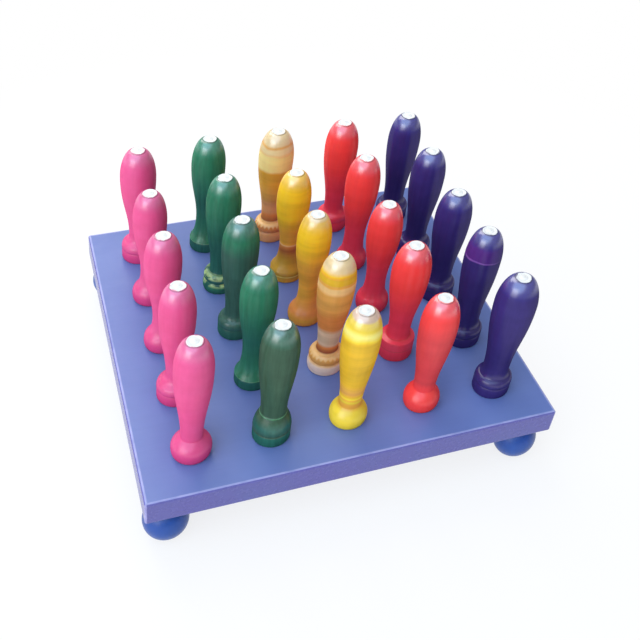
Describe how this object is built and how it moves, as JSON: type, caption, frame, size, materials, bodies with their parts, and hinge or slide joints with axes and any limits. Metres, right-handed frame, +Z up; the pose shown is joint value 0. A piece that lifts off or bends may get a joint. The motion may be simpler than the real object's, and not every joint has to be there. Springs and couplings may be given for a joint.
{
  "type": "toy pegboard",
  "caption": "Square painted wooden pegboard on turned ball feet, with columns of coloured, lacquered, lathe-turned pegs that lift out of blind holes in the board.",
  "frame": {"origin": "centre of the board's outline, on the plane that the feet stand on", "axes": "+Z up along the pegs, +X along a row from the pink pegs to the blue ones, -Y towards the front"},
  "size_m": [0.267, 0.267, 0.1408],
  "materials": {
    "board_paint": "satin blue paint",
    "foot_paint": "gloss blue paint",
    "pink_lacquer": "gloss pink lacquer, bare wood on the end",
    "green_lacquer": "gloss green lacquer, bare wood on the end",
    "yellow_lacquer": "gloss yellow lacquer, bare wood on the end",
    "red_lacquer": "gloss red lacquer, bare wood on the end",
    "blue_lacquer": "gloss blue lacquer, bare wood on the end"
  },
  "bodies": {
    "board": {"board": "board_paint", "foot_front_left": "foot_paint", "foot_front_right": "foot_paint", "foot_back_left": "foot_paint", "foot_back_right": "foot_paint"},
    "peg_pink_1": {"peg_pink_1": "pink_lacquer"},
    "peg_pink_2": {"peg_pink_2": "pink_lacquer"},
    "peg_pink_3": {"peg_pink_3": "pink_lacquer"},
    "peg_pink_4": {"peg_pink_4": "pink_lacquer"},
    "peg_pink_5": {"peg_pink_5": "pink_lacquer"},
    "peg_green_1": {"peg_green_1": "green_lacquer"},
    "peg_green_2": {"peg_green_2": "green_lacquer"},
    "peg_green_3": {"peg_green_3": "green_lacquer"},
    "peg_green_4": {"peg_green_4": "green_lacquer"},
    "peg_green_5": {"peg_green_5": "green_lacquer"},
    "peg_yellow_1": {"peg_yellow_1": "yellow_lacquer"},
    "peg_yellow_2": {"peg_yellow_2": "yellow_lacquer"},
    "peg_yellow_3": {"peg_yellow_3": "yellow_lacquer"},
    "peg_yellow_4": {"peg_yellow_4": "yellow_lacquer"},
    "peg_yellow_5": {"peg_yellow_5": "yellow_lacquer"},
    "peg_red_1": {"peg_red_1": "red_lacquer"},
    "peg_red_2": {"peg_red_2": "red_lacquer"},
    "peg_red_3": {"peg_red_3": "red_lacquer"},
    "peg_red_4": {"peg_red_4": "red_lacquer"},
    "peg_red_5": {"peg_red_5": "red_lacquer"},
    "peg_blue_1": {"peg_blue_1": "blue_lacquer"},
    "peg_blue_2": {"peg_blue_2": "blue_lacquer"},
    "peg_blue_3": {"peg_blue_3": "blue_lacquer"},
    "peg_blue_4": {"peg_blue_4": "blue_lacquer"},
    "peg_blue_5": {"peg_blue_5": "blue_lacquer"}
  },
  "joints": [
    {"name": "lift_peg_pink_1", "type": "slide", "parent": "board", "child": "peg_pink_1", "axis": [0, 0, 1], "range_m": [0, 0.11]},
    {"name": "lift_peg_pink_2", "type": "slide", "parent": "board", "child": "peg_pink_2", "axis": [0, 0, 1], "range_m": [0, 0.11]},
    {"name": "lift_peg_pink_3", "type": "slide", "parent": "board", "child": "peg_pink_3", "axis": [0, 0, 1], "range_m": [0, 0.11]},
    {"name": "lift_peg_pink_4", "type": "slide", "parent": "board", "child": "peg_pink_4", "axis": [0, 0, 1], "range_m": [0, 0.11]},
    {"name": "lift_peg_pink_5", "type": "slide", "parent": "board", "child": "peg_pink_5", "axis": [0, 0, 1], "range_m": [0, 0.11]},
    {"name": "lift_peg_green_1", "type": "slide", "parent": "board", "child": "peg_green_1", "axis": [0, 0, 1], "range_m": [0, 0.11]},
    {"name": "lift_peg_green_2", "type": "slide", "parent": "board", "child": "peg_green_2", "axis": [0, 0, 1], "range_m": [0, 0.11]},
    {"name": "lift_peg_green_3", "type": "slide", "parent": "board", "child": "peg_green_3", "axis": [0, 0, 1], "range_m": [0, 0.11]},
    {"name": "lift_peg_green_4", "type": "slide", "parent": "board", "child": "peg_green_4", "axis": [0, 0, 1], "range_m": [0, 0.11]},
    {"name": "lift_peg_green_5", "type": "slide", "parent": "board", "child": "peg_green_5", "axis": [0, 0, 1], "range_m": [0, 0.11]},
    {"name": "lift_peg_yellow_1", "type": "slide", "parent": "board", "child": "peg_yellow_1", "axis": [0, 0, 1], "range_m": [0, 0.11]},
    {"name": "lift_peg_yellow_2", "type": "slide", "parent": "board", "child": "peg_yellow_2", "axis": [0, 0, 1], "range_m": [0, 0.11]},
    {"name": "lift_peg_yellow_3", "type": "slide", "parent": "board", "child": "peg_yellow_3", "axis": [0, 0, 1], "range_m": [0, 0.11]},
    {"name": "lift_peg_yellow_4", "type": "slide", "parent": "board", "child": "peg_yellow_4", "axis": [0, 0, 1], "range_m": [0, 0.11]},
    {"name": "lift_peg_yellow_5", "type": "slide", "parent": "board", "child": "peg_yellow_5", "axis": [0, 0, 1], "range_m": [0, 0.11]},
    {"name": "lift_peg_red_1", "type": "slide", "parent": "board", "child": "peg_red_1", "axis": [0, 0, 1], "range_m": [0, 0.11]},
    {"name": "lift_peg_red_2", "type": "slide", "parent": "board", "child": "peg_red_2", "axis": [0, 0, 1], "range_m": [0, 0.11]},
    {"name": "lift_peg_red_3", "type": "slide", "parent": "board", "child": "peg_red_3", "axis": [0, 0, 1], "range_m": [0, 0.11]},
    {"name": "lift_peg_red_4", "type": "slide", "parent": "board", "child": "peg_red_4", "axis": [0, 0, 1], "range_m": [0, 0.11]},
    {"name": "lift_peg_red_5", "type": "slide", "parent": "board", "child": "peg_red_5", "axis": [0, 0, 1], "range_m": [0, 0.11]},
    {"name": "lift_peg_blue_1", "type": "slide", "parent": "board", "child": "peg_blue_1", "axis": [0, 0, 1], "range_m": [0, 0.11]},
    {"name": "lift_peg_blue_2", "type": "slide", "parent": "board", "child": "peg_blue_2", "axis": [0, 0, 1], "range_m": [0, 0.11]},
    {"name": "lift_peg_blue_3", "type": "slide", "parent": "board", "child": "peg_blue_3", "axis": [0, 0, 1], "range_m": [0, 0.11]},
    {"name": "lift_peg_blue_4", "type": "slide", "parent": "board", "child": "peg_blue_4", "axis": [0, 0, 1], "range_m": [0, 0.11]},
    {"name": "lift_peg_blue_5", "type": "slide", "parent": "board", "child": "peg_blue_5", "axis": [0, 0, 1], "range_m": [0, 0.11]}
  ]
}
